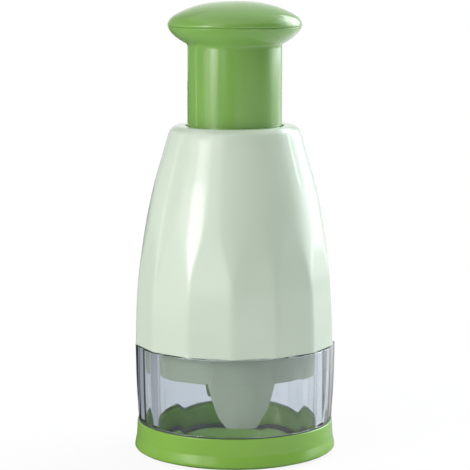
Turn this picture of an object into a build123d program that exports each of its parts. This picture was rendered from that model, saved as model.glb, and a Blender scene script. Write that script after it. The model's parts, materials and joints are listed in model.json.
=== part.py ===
from build123d import *

import math
import os

# Plunger food chopper, in millimetres. +Z is up and the origin is the bottom centre.
# The front of the chopper looks along -Y.

# Overall
TOTAL_HEIGHT = 233.2
FACETS = 14
FACET_STEP = 360 / FACETS
FACET_SHRINK = math.cos(math.radians(FACET_STEP / 2))
HOUSING_TURN = -1.55
CUP_FACETS = 15
CUP_TURN = -7.5
GUARD_TURN = 4.5

# Travel of the plunger, and how far the blade turns on one press
PRESS = 40.0
TURN_PER_PRESS = 30.0

# Base
FOOT_PROUD = 0.4
RIM_TOP = 16.4
RIM_INNER = 48.6
GROOVE_FLOOR = 2.8
PAD_RADIUS = 38.6
PAD_LOW = 3.0
PAD_HIGH = 5.0

# Cup
CUP_BORE = 45.0
SPIGOT_RADIUS = 48.2
CUP_LOW = 4.1
CUP_LEDGE = 16.9
CUP_SHOULDER = 56.7
NECK_RADIUS = 47.2
NECK_TOP = 61.0

# Housing: radius over the ridges, at heights from the lower lip to the shoulder
HOUSING_LOW = 57.0
HOUSING_TOP = 169.7
HOUSING_OUTLINE = [
    (52.35, 57.0),
    (52.08, 60.5),
    (51.85, 73.0),
    (51.00, 88.0),
    (49.30, 100.5),
    (46.65, 115.5),
    (44.10, 128.6),
    (41.20, 141.0),
    (38.78, 149.4),
    (36.38, 157.6),
    (34.25, 165.2),
]
# Distance from the axis to the middle of a facet
FACET_OUTLINE = [
    (51.05, 56.0),
    (50.78, 60.5),
    (50.55, 73.0),
    (49.72, 88.0),
    (49.00, 95.6),
    (47.92, 104.5),
    (47.22, 110.0),
    (46.38, 116.0),
    (45.77, 120.0),
    (44.90, 126.0),
    (43.95, 132.0),
]
# Inner wall of the housing
CAVITY_OUTLINE = [
    (48.70, 55.0),
    (48.55, 66.0),
    (48.15, 76.0),
    (47.15, 88.0),
    (45.70, 100.0),
    (43.60, 112.0),
    (40.90, 124.0),
    (37.90, 136.0),
    (34.60, 148.0),
    (32.10, 158.0),
    (30.70, 167.2),
]
OPENING_RADIUS = 25.2
COLLAR_OUTER = 28.6
COLLAR_INNER = 26.3
COLLAR_LOW = 149.0
GUIDE_INNER = 24.65

# Guard
GUARD_OUTER = 42.0
GUARD_INNER = 40.6
GUARD_LOW = 42.6
GUARD_LIP = 38.8
FLANGE_LOW = 62.6
FLANGE_TOP = 64.6
FLANGE_RADIUS = 47.6
CAN_OUTER = 38.5
CAN_INNER = 36.9
DECK_LOW = 97.5
DECK_TOP = 100.0
LEG_TIP = 19.7
LEG_RAISED = 42.5

# Screws
GUARD_SCREW_CIRCLE = 44.8
TOWER_SCREW_CIRCLE = 9.0
SCREW_RADIUS = 1.5
SCREW_HEAD = 2.6

# Tower and drive
SHAFT_RADIUS = 3.0
SHAFT_HOLE = 3.35
TOWER_OUTER = 14.0
TOWER_BORE = 11.4
TOWER_TOP = 164.5
TOWER_BLOCK = 107.0
TOWER_FLANGE = 21.0
SEAT_LOW = 102.0
SEAT_TOP = 102.9
DRIVE_PIN_Z = 157.5
DRIVE_PIN_RADIUS = 1.5
SLOT_WIDTH = 3.6
TEETH = 12
TOOTH_HEIGHT = 1.5
COLLAR_PIN_Z = 150.2

# Return spring
SPRING_WIRE = 0.8
SPRING_RADIUS = 18.0
SPRING_TURNS = 11
SPRING_TOP = 205.4

# Plunger
STEM_RADIUS = 24.3
STEM_INNER = 22.0
STEM_LOW = 143.5
STEM_TOP = 211.0
PARTITION_LOW = 207.0
PARTITION_TOP = 210.0
SPLIT_Z = 220.2
LUG_WIDTH = 8.0
LUG_RADIUS = 27.4

# Blade and wiper
BLADE_PATH = [(-32.0, -9.0), (-20.0, 24.0), (-8.0, -24.0), (8.0, 24.0), (20.0, -24.0), (32.0, 9.0)]
BLADE_THICK = 0.6
BLADE_TIP = 45.3
BLADE_BEVEL = 1.2
BLADE_TOP = 92.6
HOLDER_LOW = 89.2
HOLDER_TOP = 94.6
HOLDER_PIN_Z = 91.6
HOLDER_RADIUS = 35.8
WIPER_LOW = 43.4
WIPER_TOP = 46.0
WIPER_RADIUS = 40.2
WIPER_GAP = 0.5


def save(shape, name):
    """Write one node."""
    export_step(shape, f"parts/{name}.step")


def tube(outer, inner, low, high):
    """A round tube on the Z axis."""
    ring = Plane.XY.offset(low) * (Circle(outer) - Circle(inner))
    return extrude(ring, amount=high - low)


def disc(radius, low, high, at=(0, 0)):
    """A round disc with its axis along Z."""
    face = Plane.XY.offset(low) * Pos(at[0], at[1]) * Circle(radius)
    return extrude(face, amount=high - low)


def lathe(points):
    """Turn a closed outline of (radius, height) points about Z."""
    outline = Plane.XZ * make_face(Polyline(*points, close=True))
    return revolve(outline, Axis.Z)


def lathe_curve(curve_points, line_points):
    """Turn an outline that is a smooth curve, closed by straight lines, about Z."""
    outline = Spline(*curve_points) + Polyline(curve_points[-1], *line_points, curve_points[0])
    return revolve(Plane.XZ * make_face(outline), Axis.Z)


def ring_points(radius, count, first=0.0):
    """Points spaced evenly on a circle."""
    angles = [math.radians(first + 360 * k / count) for k in range(count)]
    return [(radius * math.cos(a), radius * math.sin(a)) for a in angles]


def zigzag(width, low, high):
    """A strip of the given width that follows the blade's path."""
    strip = offset(Polyline(*BLADE_PATH), amount=width / 2, kind=Kind.INTERSECTION, side=Side.BOTH)
    return extrude(Plane.XY.offset(low) * make_face(strip), amount=high - low)


def screw(at, low, high, head_low):
    """A pan-head screw that points up, with a cross recess in its head."""
    shank = disc(SCREW_RADIUS, low, high, at)
    head = disc(SCREW_HEAD, head_low, low, at)
    head = chamfer(head.edges().sort_by(Axis.Z)[0], 0.4)
    cross = Box(2.6, 0.7, 1.0) + Box(0.7, 2.6, 1.0)
    return shank + head - Pos(at[0], at[1], head_low) * cross


def cross_pin(z, radius, half_length, angle):
    """A pin that lies across the axis."""
    return Pos(0, 0, z) * Rot(0, 0, angle) * Rot(0, 90, 0) * Cylinder(radius, 2 * half_length)


def coil(radius, wire, low, high, turns):
    """A round-wire helix between two heights."""
    rise = high - low - 2 * wire
    path = Pos(0, 0, low + wire) * Helix(pitch=rise / turns, height=rise, radius=radius)
    section = Plane(origin=path @ 0, z_dir=path % 0) * Circle(wire)
    return sweep(section, path=path, is_frenet=True)


# Base


def base_cap():
    """The dish: rim, seat for the seal, seat for the pad, floor and the channel for the foot."""
    return lathe(
        [
            (50.9, FOOT_PROUD),
            (51.9, 0.8),
            (52.4, 1.8),
            (51.8, 6.0),
            (51.2, 10.0),
            (50.85, 15.9),
            (50.4, RIM_TOP),
            (49.1, RIM_TOP),
            (RIM_INNER, 15.9),
            (RIM_INNER, GROOVE_FLOOR),
            (PAD_RADIUS, GROOVE_FLOOR),
            (PAD_RADIUS, PAD_LOW),
            (0.0, PAD_LOW),
            (0.0, 1.2),
            (44.2, 1.2),
            (44.8, FOOT_PROUD),
            (45.9, FOOT_PROUD),
            (45.9, 1.4),
            (50.1, 1.4),
            (50.1, FOOT_PROUD),
        ]
    )


def cutting_pad():
    """The disc that the blade lands on."""
    pad = disc(PAD_RADIUS, PAD_LOW, PAD_HIGH)
    return chamfer(pad.edges().group_by(Axis.Z)[-1], 0.4)


def base_gasket():
    """The dark seal: a thick collar round the pad and a thin lip under the cup's edge."""
    inner = PAD_RADIUS + 0.1
    collar = CUP_BORE - 0.2
    return lathe(
        [
            (inner, GROOVE_FLOOR),
            (48.5, GROOVE_FLOOR),
            (48.5, 3.8),
            (collar, 3.8),
            (collar, 4.7),
            (collar - 0.3, PAD_HIGH),
            (inner, PAD_HIGH),
        ]
    )


def foot_ring():
    """The ring that the chopper stands on, with small grip ribs let in."""
    ring = tube(50.1, 45.9, 0.0, 1.4)
    for k in range(24):
        groove = Pos(48.0, 0, 0) * Box(1.2, 3.4, 0.5)
        ring -= Rot(0, 0, 15 * k) * groove
    return ring


# Cup


def clear_cup():
    """Facets outside, round bore, spigot below for the base and neck above for the housing."""
    sections = []
    for radius, z in ((50.7, CUP_LEDGE), (51.8, 36.0), (52.3, CUP_SHOULDER)):
        face = Plane.XY.offset(z) * Rot(0, 0, CUP_TURN - 90) * RegularPolygon(radius, CUP_FACETS)
        sections.append(face)
    cup = loft(sections)
    cup += disc(SPIGOT_RADIUS, CUP_LOW, CUP_LEDGE + 1)
    cup += disc(NECK_RADIUS, CUP_SHOULDER - 1, NECK_TOP)
    for k in range(4):
        lug = Pos(47.4, 0, 59.0) * Box(1.4, 7.0, 1.6)
        cup += Rot(0, 0, 90 * k + 15) * lug
    return cup - disc(CUP_BORE, 0, 80)


# Housing unit


def facet_cutter():
    """What is removed outside one facet, for a facet that faces +X."""
    lines = Polyline(FACET_OUTLINE[-1], (60.0, 132.0), (60.0, 56.0), FACET_OUTLINE[0])
    side = Plane.XZ * make_face(Spline(*FACET_OUTLINE) + lines)
    return extrude(side, amount=14.0, both=True)


def housing_skin():
    """The solid outer form of the housing, with its facets cut."""
    outer_top = [(33.0, 167.6), (31.4, 169.1), (29.4, HOUSING_TOP), (0.0, HOUSING_TOP)]
    skin = lathe_curve(HOUSING_OUTLINE, outer_top + [(0.0, HOUSING_LOW)])
    cutter = facet_cutter()
    for k in range(FACETS):
        skin -= Rot(0, 0, HOUSING_TURN - 90 + FACET_STEP * (k + 0.5)) * cutter
    return skin


def housing_cavity(extra):
    """The hollow of the housing, grown outward by extra."""
    curve = [(r + extra, z) for r, z in CAVITY_OUTLINE]
    return lathe_curve(curve, [(0.0, CAVITY_OUTLINE[-1][1]), (0.0, CAVITY_OUTLINE[0][1])])


def housing_shell():
    """The housing: skin, collar for the stem, guide ribs and bosses for the guard's screws."""
    shell = housing_skin() - housing_cavity(0.0)
    shell += disc(COLLAR_OUTER, COLLAR_LOW, HOUSING_TOP - 1.0)
    reach = housing_cavity(0.8)
    for side in (0, 180):
        for y in (-5.4, 5.4):
            rib = Pos(38.0, y, 127.0) * Box(25.6, 1.8, 46.0)
            shell += Rot(0, 0, side) * (rib & reach)
    for x, y in ring_points(GUARD_SCREW_CIRCLE, 4, 45):
        boss = disc(3.9, FLANGE_TOP, 82.0, (x, y)) & reach
        shell += boss
    for x, y in ring_points(GUARD_SCREW_CIRCLE, 4, 45):
        shell -= disc(SCREW_RADIUS, FLANGE_TOP, 76.0, (x, y))
    shell -= disc(OPENING_RADIUS, 140.0, 175.0)
    shell -= disc(COLLAR_INNER, 140.0, 167.0)
    mouth = [(25.0, 169.1), (OPENING_RADIUS, 169.1), (26.0, 170.0), (25.0, 170.0)]
    return shell - lathe(mouth)


def stem_guide_ring():
    """The bearing ring pressed into the collar, with three wiping grooves."""
    ring = tube(COLLAR_INNER, GUIDE_INNER, 150.0, 166.9)
    for z in (153.0, 158.0, 163.0):
        ring -= tube(25.2, 24.0, z, z + 1.2)
    return ring


def guard_leg():
    """One leg of the guard, at the front, before it is turned to its place."""
    half = [(7.0, LEG_TIP), (8.2, 20.6), (9.4, 23.2), (12.2, 30.0), (13.8, 34.5), (16.4, 42.4), (16.4, 44.0)]
    points = half + [(-x, z) for x, z in reversed(half)]
    plate = extrude(Plane.XZ * make_face(Polyline(*points, close=True)), amount=60.0)
    leg = plate & tube(LEG_RAISED, GUARD_INNER, LEG_TIP - 1, 44.0)
    panel = Pos(0, -30.0, 53.0) * Box(28.6, 60.0, 19.2)
    return leg + (panel & tube(LEG_RAISED, GUARD_OUTER - 0.2, 43.0, FLANGE_TOP))


def blade_guard():
    """Skirt, two legs, flange, the can above and the deck that carries the tower."""
    guard = tube(GUARD_OUTER, GUARD_INNER, GUARD_LOW, FLANGE_TOP)
    guard += tube(GUARD_OUTER - 0.5, GUARD_LIP, GUARD_LOW, GUARD_LOW + 0.5)
    guard += tube(FLANGE_RADIUS, CAN_INNER, FLANGE_LOW, FLANGE_TOP)
    guard += tube(CAN_OUTER, CAN_INNER, FLANGE_LOW, DECK_TOP)
    guard += tube(CAN_OUTER, SHAFT_HOLE, DECK_LOW, DECK_TOP)
    for turn in (0, 180):
        guard += Rot(0, 0, GUARD_TURN + turn) * guard_leg()
    for at in ring_points(GUARD_SCREW_CIRCLE, 4, 45):
        guard -= disc(1.8, FLANGE_LOW - 1, FLANGE_TOP + 1, at)
    for at in ring_points(TOWER_SCREW_CIRCLE, 3, 90):
        guard -= disc(1.8, DECK_LOW - 1, DECK_TOP + 1, at)
    return guard


def guard_screws():
    """The screws that hold the guard to the housing."""
    found = [screw(at, FLANGE_LOW, 75.0, 61.4) for at in ring_points(GUARD_SCREW_CIRCLE, 4, 45)]
    return Compound(children=found)


def wiper_retainer():
    """A split snap ring above the wiper."""
    ring = tube(GUARD_INNER, 39.0, 46.4, 47.5)
    return ring - Pos(40.0, 0, 47.0) * Box(6.0, 3.0, 4.0)


def mechanism_tower():
    """The tube on the deck. Two helical slots in it lead the rotor's pins round."""
    tower = tube(TOWER_OUTER, TOWER_BORE, TOWER_BLOCK, TOWER_TOP)
    tower += tube(TOWER_OUTER, SHAFT_HOLE, DECK_TOP, TOWER_BLOCK)
    tower += tube(TOWER_FLANGE, SHAFT_HOLE, DECK_TOP, SEAT_LOW)
    rate = TURN_PER_PRESS / PRESS
    low = DRIVE_PIN_Z - PRESS - DRIVE_PIN_RADIUS - 0.6
    high = TOWER_TOP + 0.2
    start = rate * (DRIVE_PIN_Z - low)
    for side in (0, 180):
        place = Plane.XY.offset(low) * Rot(0, 0, start + side)
        section = place * Pos(13.0, 0) * Rectangle(6.0, SLOT_WIDTH)
        slot = Solid.extrude_linear_with_rotation(
            section.face(), (0, 0, low), (0, 0, high - low), -rate * (high - low)
        )
        tower -= slot
    for at in ring_points(TOWER_SCREW_CIRCLE, 3, 90):
        tower -= disc(SCREW_RADIUS, DECK_TOP - 1, 106.0, at)
    return tower


def tower_screws():
    """The screws that hold the tower to the deck."""
    found = [screw(at, DECK_LOW, 105.5, 95.2) for at in ring_points(TOWER_SCREW_CIRCLE, 3, 90)]
    return Compound(children=found)


def spring_seat():
    """The washer under the return spring, with a lip that centres the coil."""
    return tube(20.5, 14.1, SEAT_LOW, SEAT_TOP) + tube(16.4, 14.1, SEAT_LOW, 105.0)


def return_spring():
    """The coil that lifts the plunger."""
    return coil(SPRING_RADIUS, SPRING_WIRE, SEAT_TOP, SPRING_TOP, SPRING_TURNS)


# Plunger


def plunger_stem():
    """The stem tube, its two key lugs, the partition and the lower half of the knob."""
    outer = [
        (STEM_RADIUS, STEM_LOW),
        (STEM_RADIUS, STEM_TOP),
        (25.4, 211.8),
        (27.3, 212.9),
        (28.9, 213.9),
        (30.5, 215.0),
        (32.4, 217.0),
        (33.7, 219.0),
        (34.2, 219.8),
        (33.9, SPLIT_Z),
        (31.9, SPLIT_Z),
        (30.4, 217.2),
        (27.6, 214.4),
        (23.4, 211.4),
        (22.0, PARTITION_TOP),
        (SHAFT_HOLE, PARTITION_TOP),
        (SHAFT_HOLE, PARTITION_LOW),
        (STEM_INNER, PARTITION_LOW),
        (STEM_INNER, STEM_LOW),
    ]
    stem = lathe(outer)
    lugs = (Pos(0, 0, 145.5) * Box(60.0, LUG_WIDTH, 4.0)) & tube(LUG_RADIUS, 23.0, 143.5, 147.5)
    return stem + lugs


def knob_cap():
    """The dome on top, with a spigot that fits inside the knob's lower half."""
    outside = [
        (34.45, 220.6),
        (34.5, 220.9),
        (34.35, 221.6),
        (33.9, 222.8),
        (32.2, 225.0),
        (29.2, 227.1),
        (24.6, 229.2),
        (18.4, 231.2),
        (9.5, 232.75),
        (0.0, TOTAL_HEIGHT),
    ]
    inside = [(0.0, 231.0), (9.0, 230.5), (17.4, 229.1), (23.4, 227.2), (27.2, 225.6), (28.6, 224.4)]
    spigot = [(28.6, 217.8), (30.1, 217.8), (30.3, SPLIT_Z), (33.9, SPLIT_Z)]
    return lathe(outside + inside + spigot)


def spring_cup():
    """The upper seat of the return spring."""
    return tube(21.7, 12.0, SPRING_TOP, PARTITION_LOW) + tube(21.7, 20.0, 203.0, SPRING_TOP)


def shaft_washer():
    """The washer on the partition, under the shaft's screw."""
    return tube(8.0, SHAFT_HOLE, PARTITION_TOP, 211.0)


# Shaft, clutch and blade


def drive_shaft():
    """The shaft, its thrust collar, the clip groove and the holes for pins and screw."""
    shaft = disc(SHAFT_RADIUS, 89.4, 211.4) + disc(7.0, 203.6, 206.6)
    shaft -= tube(SHAFT_RADIUS + 1, 2.5, 167.2, 168.0)
    shaft -= disc(SCREW_RADIUS, 199.0, 212.0)
    shaft -= cross_pin(COLLAR_PIN_Z, 1.0, 5.0, 30)
    return shaft - cross_pin(HOLDER_PIN_Z, 1.0, 5.0, 120)


def shaft_screw():
    """The screw in the shaft's top, with a hexagon socket."""
    screw_body = disc(SCREW_RADIUS, 200.0, 211.4) + disc(6.4, 211.4, 214.4)
    return screw_body - extrude(Plane.XY.offset(212.4) * RegularPolygon(1.8, 6), amount=3.0)


def tooth(profile):
    """One clutch tooth, drawn as (along the rim, up) and run outward from the axis."""
    side = Plane.YZ.offset(7.4) * make_face(Polyline(*profile, close=True))
    return extrude(side, amount=3.0)


def clutch_collar():
    """The pinned half of the clutch. Its teeth drive one way and slip the other."""
    low, face = 148.0, 152.6
    collar = tube(10.6, SHAFT_RADIUS, low, face)
    shape = tooth([(-1.7, face - 0.1), (1.7, face - 0.1), (1.7, face + TOOTH_HEIGHT)])
    for k in range(TEETH):
        collar += Rot(0, 0, 360 * k / TEETH) * shape
    return collar - cross_pin(COLLAR_PIN_Z, 1.0, 12.0, 30)


def collar_pin():
    """The pin through the collar and the shaft."""
    return cross_pin(COLLAR_PIN_Z, 1.0, 9.8, 30)


def drive_rotor():
    """The sliding half of the clutch, with the two pins that ride in the tower's slots."""
    face, high = 154.4, 161.0
    rotor = tube(10.9, SHAFT_RADIUS + 0.1, face, high)
    shape = tooth([(-1.7, 152.9), (1.7, face + 0.1), (-1.7, face + 0.1)])
    for k in range(TEETH):
        rotor += Rot(0, 0, 360 * k / TEETH) * shape
    pins = cross_pin(DRIVE_PIN_Z, DRIVE_PIN_RADIUS, 13.7, 0)
    return rotor + (pins - disc(8.0, 150.0, 165.0))


def clutch_spring():
    """The small coil that keeps the clutch shut."""
    return coil(4.6, 0.5, 161.0, 167.2, 4)


def clutch_clip():
    """The clip in the shaft's groove, above the clutch spring."""
    ring = tube(6.0, 2.5, 167.2, 168.0)
    return ring - Pos(4.5, 0, 167.6) * Box(6.0, 3.4, 2.0)


def blade_holder():
    """The bridge that follows the blade's zigzag, with a hub for the shaft."""
    holder = zigzag(5.0, HOLDER_LOW, HOLDER_TOP) + disc(9.0, HOLDER_LOW, HOLDER_TOP)
    holder -= zigzag(BLADE_THICK, HOLDER_LOW - 1, BLADE_TOP)
    holder -= disc(SHAFT_RADIUS, HOLDER_LOW + 0.2, HOLDER_TOP + 1)
    holder &= disc(HOLDER_RADIUS, HOLDER_LOW, HOLDER_TOP)
    return holder - cross_pin(HOLDER_PIN_Z, 1.0, 12.0, 120)


def holder_pin():
    """The pin through the holder and the shaft."""
    return cross_pin(HOLDER_PIN_Z, 1.0, 8.0, 120)


def zigzag_blade():
    """The strip, ground to an edge below, and cut away where the shaft and pin stand."""
    strip = zigzag(BLADE_THICK, BLADE_TIP + BLADE_BEVEL, BLADE_TOP)
    outline = offset(Polyline(*BLADE_PATH), amount=BLADE_THICK / 2, kind=Kind.INTERSECTION, side=Side.BOTH)
    edge = Plane.XY.offset(BLADE_TIP + BLADE_BEVEL) * make_face(outline)
    strip += extrude(edge, amount=-BLADE_BEVEL, taper=10.0)
    return strip - disc(SHAFT_RADIUS + 0.1, HOLDER_LOW + 0.1, BLADE_TOP + 1) - holder_pin()


# Wiper


def wiper_plate():
    """The turning plate. The blade passes through its slot, between two low walls."""
    slot = BLADE_THICK + 2 * WIPER_GAP
    plate = disc(WIPER_RADIUS, WIPER_LOW, WIPER_TOP)
    plate += zigzag(slot + 2.4, WIPER_TOP - 0.5, 48.4)
    return plate - zigzag(slot, WIPER_LOW - 1, 50.0)


NODES = [
    base_cap,
    cutting_pad,
    base_gasket,
    foot_ring,
    clear_cup,
    housing_shell,
    stem_guide_ring,
    blade_guard,
    guard_screws,
    wiper_retainer,
    mechanism_tower,
    tower_screws,
    spring_seat,
    return_spring,
    plunger_stem,
    knob_cap,
    spring_cup,
    shaft_washer,
    drive_shaft,
    shaft_screw,
    clutch_collar,
    collar_pin,
    drive_rotor,
    clutch_spring,
    clutch_clip,
    blade_holder,
    holder_pin,
    zigzag_blade,
    wiper_plate,
]

os.makedirs("parts", exist_ok=True)
for build_node in NODES:
    save(build_node(), build_node.__name__)
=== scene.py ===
"""Looks for a plunger food chopper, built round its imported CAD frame."""

import json
import logging
import math
from collections.abc import Callable, Iterable, Sequence
from dataclasses import dataclass, field
from enum import Enum
from typing import Any

import bmesh
import bpy
from mathutils import Matrix, Vector

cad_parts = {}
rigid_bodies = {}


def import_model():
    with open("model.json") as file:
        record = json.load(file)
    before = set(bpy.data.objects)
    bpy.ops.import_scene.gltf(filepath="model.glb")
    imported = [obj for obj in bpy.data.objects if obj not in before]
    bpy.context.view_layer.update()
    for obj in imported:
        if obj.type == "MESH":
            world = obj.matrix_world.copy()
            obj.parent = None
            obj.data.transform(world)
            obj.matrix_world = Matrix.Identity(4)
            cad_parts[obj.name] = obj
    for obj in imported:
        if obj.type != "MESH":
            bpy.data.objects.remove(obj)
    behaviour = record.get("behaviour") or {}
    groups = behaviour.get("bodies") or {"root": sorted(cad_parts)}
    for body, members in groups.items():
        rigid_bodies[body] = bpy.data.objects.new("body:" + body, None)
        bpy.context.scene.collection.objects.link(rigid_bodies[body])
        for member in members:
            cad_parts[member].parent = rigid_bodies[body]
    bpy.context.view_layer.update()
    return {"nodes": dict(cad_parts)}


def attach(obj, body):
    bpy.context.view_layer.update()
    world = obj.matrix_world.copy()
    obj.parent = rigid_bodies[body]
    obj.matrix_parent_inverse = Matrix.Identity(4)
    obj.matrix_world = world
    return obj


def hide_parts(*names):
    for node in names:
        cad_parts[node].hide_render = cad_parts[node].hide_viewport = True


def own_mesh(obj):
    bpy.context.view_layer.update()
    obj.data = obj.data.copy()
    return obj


LOG = logging.getLogger("chopper")
MM = 0.001
FACETS = 14
CUP_FACETS = 15
FACET_STEP = 2 * math.pi / FACETS
HALF_FACET = math.cos(FACET_STEP / 2)
FRONT = -math.pi / 2
FILLET_STEPS = 5

Colour = tuple[float, float, float]
Spot = tuple[float, float, float]
Corner = tuple[float, ...]
Stations = tuple[tuple[float, float], ...]
Object = bpy.types.Object
Socket = bpy.types.NodeSocket
Inputs = dict[str | int, Any]


class Ends(Enum):
    """How an outline that is turned about the axis begins and ends."""

    ON_AXIS = 0
    JOINED = 1


class Body(Enum):
    """The moving bodies of the chopper."""

    BASE = "base"
    CUP = "cup"
    HEAD = "head"
    PLUNGER = "plunger"
    BLADES = "blades"
    WIPER = "wiper"


# Node trees


class Wiring:
    """Adds nodes to a tree and links them."""

    def __init__(self, tree: bpy.types.NodeTree) -> None:
        """Keep the tree.

        Args:
            tree: The node tree to wire.
        """
        self.tree = tree

    @classmethod
    def opened(cls, holder: bpy.types.ID) -> "Wiring":
        """Switch on the nodes of a material, a world or a lamp, and clear them.

        Args:
            holder: The material, world or lamp.

        Returns:
            The wiring of its empty tree.
        """
        holder.use_nodes = True
        holder.node_tree.nodes.clear()
        return cls(holder.node_tree)

    def add(self, kind: str, inputs: Inputs | None = None, **settings: Any) -> bpy.types.Node:
        """Add one node.

        Args:
            kind: The node's type name.
            inputs: Values, or sockets to link from, by input name or number.
            **settings: The node's own properties.

        Returns:
            The new node.
        """
        node = self.tree.nodes.new(kind)
        for name, value in settings.items():
            setattr(node, name, value)
        for key, value in (inputs or {}).items():
            socket = self.socket(node, key)
            if isinstance(value, Socket):
                self.tree.links.new(value, socket)
            else:
                socket.default_value = value
        return node

    @staticmethod
    def socket(node: bpy.types.Node, key: str | int) -> Socket:
        """The live input of that name or number.

        Args:
            node: The node.
            key: The input's name or number.

        Returns:
            The input.
        """
        if isinstance(key, int):
            return node.inputs[key]
        return next(s for s in node.inputs if s.name == key and s.enabled)

    def first(self, kind: str, inputs: Inputs | None = None, **settings: Any) -> Socket:
        """Add one node and give its first output."""
        return self.add(kind, inputs, **settings).outputs[0]

    def math(self, operation: str, *terms: Any) -> Socket:
        """Add a Math node and give its result."""
        return self.first("ShaderNodeMath", dict(enumerate(terms)), operation=operation)

    def noise(self, where: Socket, scale: float, detail: float) -> Socket:
        """Add a noise texture and give its value."""
        return self.first("ShaderNodeTexNoise", {"Vector": where, "Scale": scale, "Detail": detail})

    def bump(self, height: Socket, depth: float, **under: Socket) -> Socket:
        """Add a bump of some millimetres, over the one given as Normal if there is one."""
        return self.first("ShaderNodeBump", {"Height": height, "Strength": 1.0, "Distance": depth * MM, **under})

    def mix(self, share: Socket, start: Any, end: Any) -> Socket:
        """Mix two colours."""
        return self.add("ShaderNodeMix", {0: share, 6: start, 7: end}, data_type="RGBA").outputs[2]

    def between(
        self, value: Socket, span: Sequence[Any], result: Sequence[float] = (0, 1), kind: str = "LINEAR"
    ) -> Socket:
        """Map a value to a new range.

        Args:
            value: The value.
            span: The two values at which the result starts and ends.
            result: The result's start and end, which it never passes.
            kind: The shape of the way between them.

        Returns:
            The result.
        """
        ends = dict(zip(("From Min", "From Max", "To Min", "To Max"), (*span, *result)))
        return self.first("ShaderNodeMapRange", {"Value": value, **ends}, interpolation_type=kind)

    def ramp(self, share: Socket, stops: Iterable[tuple[float, Iterable[float]]], kind: str = "LINEAR") -> Socket:
        """Add a colour ramp.

        Args:
            share: The value that picks the colour.
            stops: Place and colour of each stop, in rising order.
            kind: The shape of the way between the stops.

        Returns:
            The colour.
        """
        node = self.add("ShaderNodeValToRGB", {"Fac": share})
        node.color_ramp.interpolation = kind
        marks = node.color_ramp.elements
        marks.remove(marks[1])
        for k, (place, colour) in enumerate(stops):
            mark = marks.new(place) if k else marks[0]
            mark.position = place
            mark.color = (*colour, 1)
        return node.outputs[0]

    def bearing(self, place: Sequence[Socket]) -> Socket:
        """Give a place's bearing about Z as a share of the round, with the front at 0.5."""
        turn = self.math("ARCTAN2", place[0], self.math("MULTIPLY", place[1], -1.0))
        return self.math("MULTIPLY_ADD", turn, 0.5 / math.pi, 0.5)

    def about_axis(self, radius: Any, angle: Socket, height: Any) -> Socket:
        """Give the spot at a radius, an angle and a height about Z."""
        x, y = (self.math("MULTIPLY", radius, self.math(part, angle)) for part in ("COSINE", "SINE"))
        return self.first("ShaderNodeCombineXYZ", {0: x, 1: y, 2: height})


class ShapeTree:
    """A Geometry Nodes tree with named inputs that works on one mesh."""

    def __init__(self, name: str, inputs: Sequence[tuple[str, str, Any]]) -> None:
        """Open the tree with its inputs.

        Args:
            name: The tree's name.
            inputs: Name, socket type and starting value of each input.
        """
        self.tree = bpy.data.node_groups.new(name, "GeometryNodeTree")
        self.tree.is_modifier = True
        face = self.tree.interface
        face.new_socket(name="Shape", in_out="INPUT", socket_type="NodeSocketGeometry")
        self.ids: dict[str, str] = {}
        for label, kind, value in inputs:
            socket = face.new_socket(name=label, in_out="INPUT", socket_type=kind)
            if value is not None:
                socket.default_value = value
            self.ids[label] = socket.identifier
        face.new_socket(name="Shape", in_out="OUTPUT", socket_type="NodeSocketGeometry")
        self.wire = Wiring(self.tree)
        self.given = self.wire.add("NodeGroupInput").outputs

    def close(self, shape: Socket) -> None:
        """End the tree: realise instances, then set the material.

        Args:
            shape: The finished geometry.
        """
        real = self.wire.first("GeometryNodeRealizeInstances", {"Geometry": shape})
        dressed = self.wire.first("GeometryNodeSetMaterial", {"Geometry": real, "Material": self.given["Finish"]})
        self.wire.add("NodeGroupOutput", {0: dressed})

    def run(self, obj: Object, **values: Any) -> Object:
        """Run the tree on an object and keep the result as its plain mesh.

        Args:
            obj: The object that holds the starting mesh.
            **values: Input values, with spaces in the names written as underscores.

        Returns:
            The same object, with no modifier left.
        """
        modifier = obj.modifiers.new("Shape", "NODES")
        modifier.node_group = self.tree
        for label, value in values.items():
            modifier[self.ids[label.replace("_", " ")]] = value
        flattened(obj)
        obj.data.materials.clear()
        obj.data.materials.append(values["Finish"])
        return obj


def flattened(obj: Object) -> Object:
    """Turn what an object's modifiers make into its own plain mesh.

    Args:
        obj: The object.

    Returns:
        The same object.
    """
    bpy.context.view_layer.update()
    seen = obj.evaluated_get(bpy.context.evaluated_depsgraph_get())
    mesh = bpy.data.meshes.new_from_object(seen)
    obj.modifiers.clear()
    obj.data = mesh
    return obj


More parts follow.
